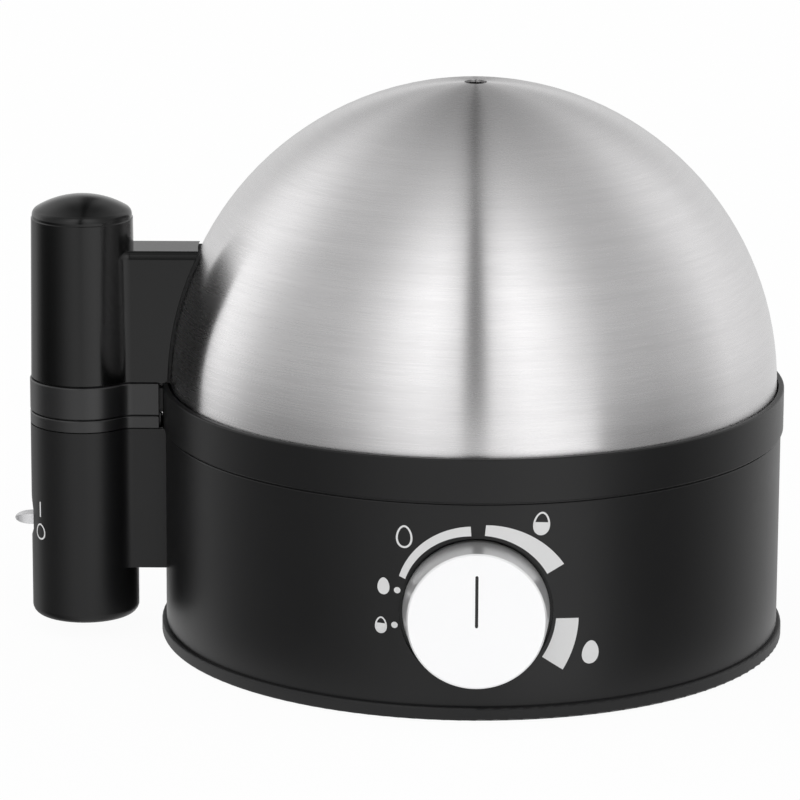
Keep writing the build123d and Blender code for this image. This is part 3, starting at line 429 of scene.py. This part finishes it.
printed("mark_on", stroke_up(width=0.7, bottom=5.0, top=10.15), on_column)
printed("mark_off", egg_ring((0.0, 0.0), 5.0, 5.5, stroke=0.55), on_column)


# Floor: white to the camera and to gloss, paper to the light, and open to gloss past the object's foot

FLOOR_HALF = 9.0
WHITE = (1.0, 1.0, 1.0, 1.0)
PAPER = (0.90, 0.90, 0.90, 1.0)
WHITE_SHARE = 0.955  # the rest shows the shadow
OPEN_FROM, OPEN_TO = 0.110, 0.140


def floor_material():
    mat = bpy.data.materials.new("floor_white")
    mat.use_nodes = True
    nt = mat.node_tree
    nt.nodes.clear()
    path = add(nt, "ShaderNodeLightPath").outputs
    seen = math_node(nt, "MAXIMUM", path["Is Camera Ray"], path["Is Glossy Ray"])
    seen = math_node(nt, "MAXIMUM", seen, path["Is Transmission Ray"])
    paper = add(nt, "ShaderNodeBsdfDiffuse", {"Color": PAPER}).outputs[0]
    white = add(nt, "ShaderNodeEmission", {"Color": WHITE, "Strength": 1.0}).outputs[0]
    table = add(nt, "ShaderNodeMixShader", {0: math_node(nt, "MULTIPLY", seen, WHITE_SHARE),
                                            1: paper, 2: white}).outputs[0]
    spot = add(nt, "ShaderNodeTexCoord").outputs["Object"]
    radius = add(nt, "ShaderNodeVectorMath", {0: spot}, operation="LENGTH").outputs["Value"]
    beyond = math_node(nt, "MULTIPLY", remap(nt, radius, OPEN_FROM, OPEN_TO, 0.0, 1.0), path["Is Glossy Ray"])
    past = add(nt, "ShaderNodeBsdfTransparent").outputs[0]
    both = add(nt, "ShaderNodeMixShader", {0: beyond, 1: table, 2: past}).outputs[0]
    add(nt, "ShaderNodeOutputMaterial", {"Surface": both})
    return mat


floor_mesh = bpy.data.meshes.new("floor")
bm = bmesh.new()
bmesh.ops.create_grid(bm, x_segments=2, y_segments=2, size=FLOOR_HALF)
bm.to_mesh(floor_mesh)
bm.free()
floor = bpy.data.objects.new("floor", floor_mesh)
bpy.context.scene.collection.objects.link(floor)
floor.data.materials.append(floor_material())


# Studio: two tall softboxes with a dark gap at the camera, grey sides and pale walls behind.
# Directions are in degrees from the camera's side. Below the horizon they are signed, positive to the
# camera's right. Above it both sides are alike, at four heights: each sine of height from and to which
# the light changes to that height's levels, and its levels.

BELOW = ((-180, 0.80), (-150, 0.45), (-125, 0.62), (-98, 0.12), (-78, 0.08), (-62, 0.16), (-48, 0.38),
         (-30, 0.84), (-15, 1.12), (0, 1.25), (15, 1.44), (30, 1.66), (45, 1.66), (50, 0.34), (60, 0.09),
         (77, 0.05), (95, 0.26), (125, 0.70), (180, 0.95))
TURNS = (0, 2.5, 6.5, 19, 30, 43, 58, 75, 93, 112, 133, 165, 174, 178)
HEIGHTS = (
    (-0.19, -0.11, (0.10, 0.18, 1.10, 1.46, 1.36, 1.00, 0.81, 0.75, 0.87, 1.24, 1.10, 0.80, 0.80, 0.80)),
    (0.20, 0.42, (0.12, 0.22, 1.46, 1.84, 1.66, 1.18, 0.80, 0.74, 0.83, 1.08, 1.22, 0.55, 0.50, 0.15)),
    (0.60, 0.80, (0.06, 0.14, 1.48, 1.92, 1.68, 1.23, 0.88, 0.72, 0.66, 0.72, 0.92, 0.28, 0.28, 0.05)),
    (0.86, 0.97, (0.04, 0.08, 0.45, 0.62, 0.70, 0.72, 0.72, 0.70, 0.66, 0.64, 0.60, 0.50, 0.40, 0.04)))
LEFT_WALL = ((-180, 1.0), (-142, 1.0), (-122, 1.28), (-102, 1.26), (-86, 1.0), (180, 1.0))  # a gain
TOP_LEVEL = 2.0  # a ramp's colour ends at 1, so levels are stored as shares of this
STUDIO_STRENGTH = 4.0
FACTOR, COLOUR_A, COLOUR_B, COLOUR_OUT = 0, 6, 7, 2  # sockets of the Mix node for colours


def grey(value):
    return (value / TOP_LEVEL, value / TOP_LEVEL, value / TOP_LEVEL)


def signed_ramp(nt, spin, levels):
    """Light level by the signed direction: spin is 0 at -180 degrees and 1 at 180."""
    return ramp(nt, spin, [(0.5 + degrees / 360.0, grey(value)) for degrees, value in levels])


def light_studio():
    world = bpy.data.worlds.new("studio")
    bpy.context.scene.world = world
    world.use_nodes = True
    nt = world.node_tree
    nt.nodes.clear()
    direction = add(nt, "ShaderNodeTexCoord").outputs["Generated"]
    x, y, z = add(nt, "ShaderNodeSeparateXYZ", {0: direction}).outputs
    signed = math_node(nt, "ARCTAN2", x, math_node(nt, "MULTIPLY", y, -1.0))
    turn = math_node(nt, "DIVIDE", math_node(nt, "ABSOLUTE", signed), math.pi)
    spin = remap(nt, signed, -math.pi, math.pi, 0.0, 1.0)
    room = signed_ramp(nt, spin, BELOW)
    for start, end, levels in HEIGHTS:
        band = ramp(nt, turn, [(degrees / 180.0, grey(value)) for degrees, value in zip(TURNS, levels)])
        rise = remap(nt, z, start, end, 0.0, 1.0)
        room = add(nt, "ShaderNodeMix", {FACTOR: rise, COLOUR_A: room, COLOUR_B: band},
                   data_type="RGBA").outputs[COLOUR_OUT]
    room = add(nt, "ShaderNodeMix", {FACTOR: 1.0, COLOUR_A: room, COLOUR_B: signed_ramp(nt, spin, LEFT_WALL)},
               data_type="RGBA", blend_type="MULTIPLY").outputs[COLOUR_OUT]
    studio = add(nt, "ShaderNodeBackground", {"Color": room, "Strength": STUDIO_STRENGTH}).outputs[0]
    white = add(nt, "ShaderNodeBackground", {"Color": WHITE, "Strength": 1.0}).outputs[0]
    path = add(nt, "ShaderNodeLightPath").outputs
    both = add(nt, "ShaderNodeMixShader", {0: path["Is Camera Ray"], 1: studio, 2: white}).outputs[0]
    add(nt, "ShaderNodeOutputWorld", {"Surface": both})


light_studio()
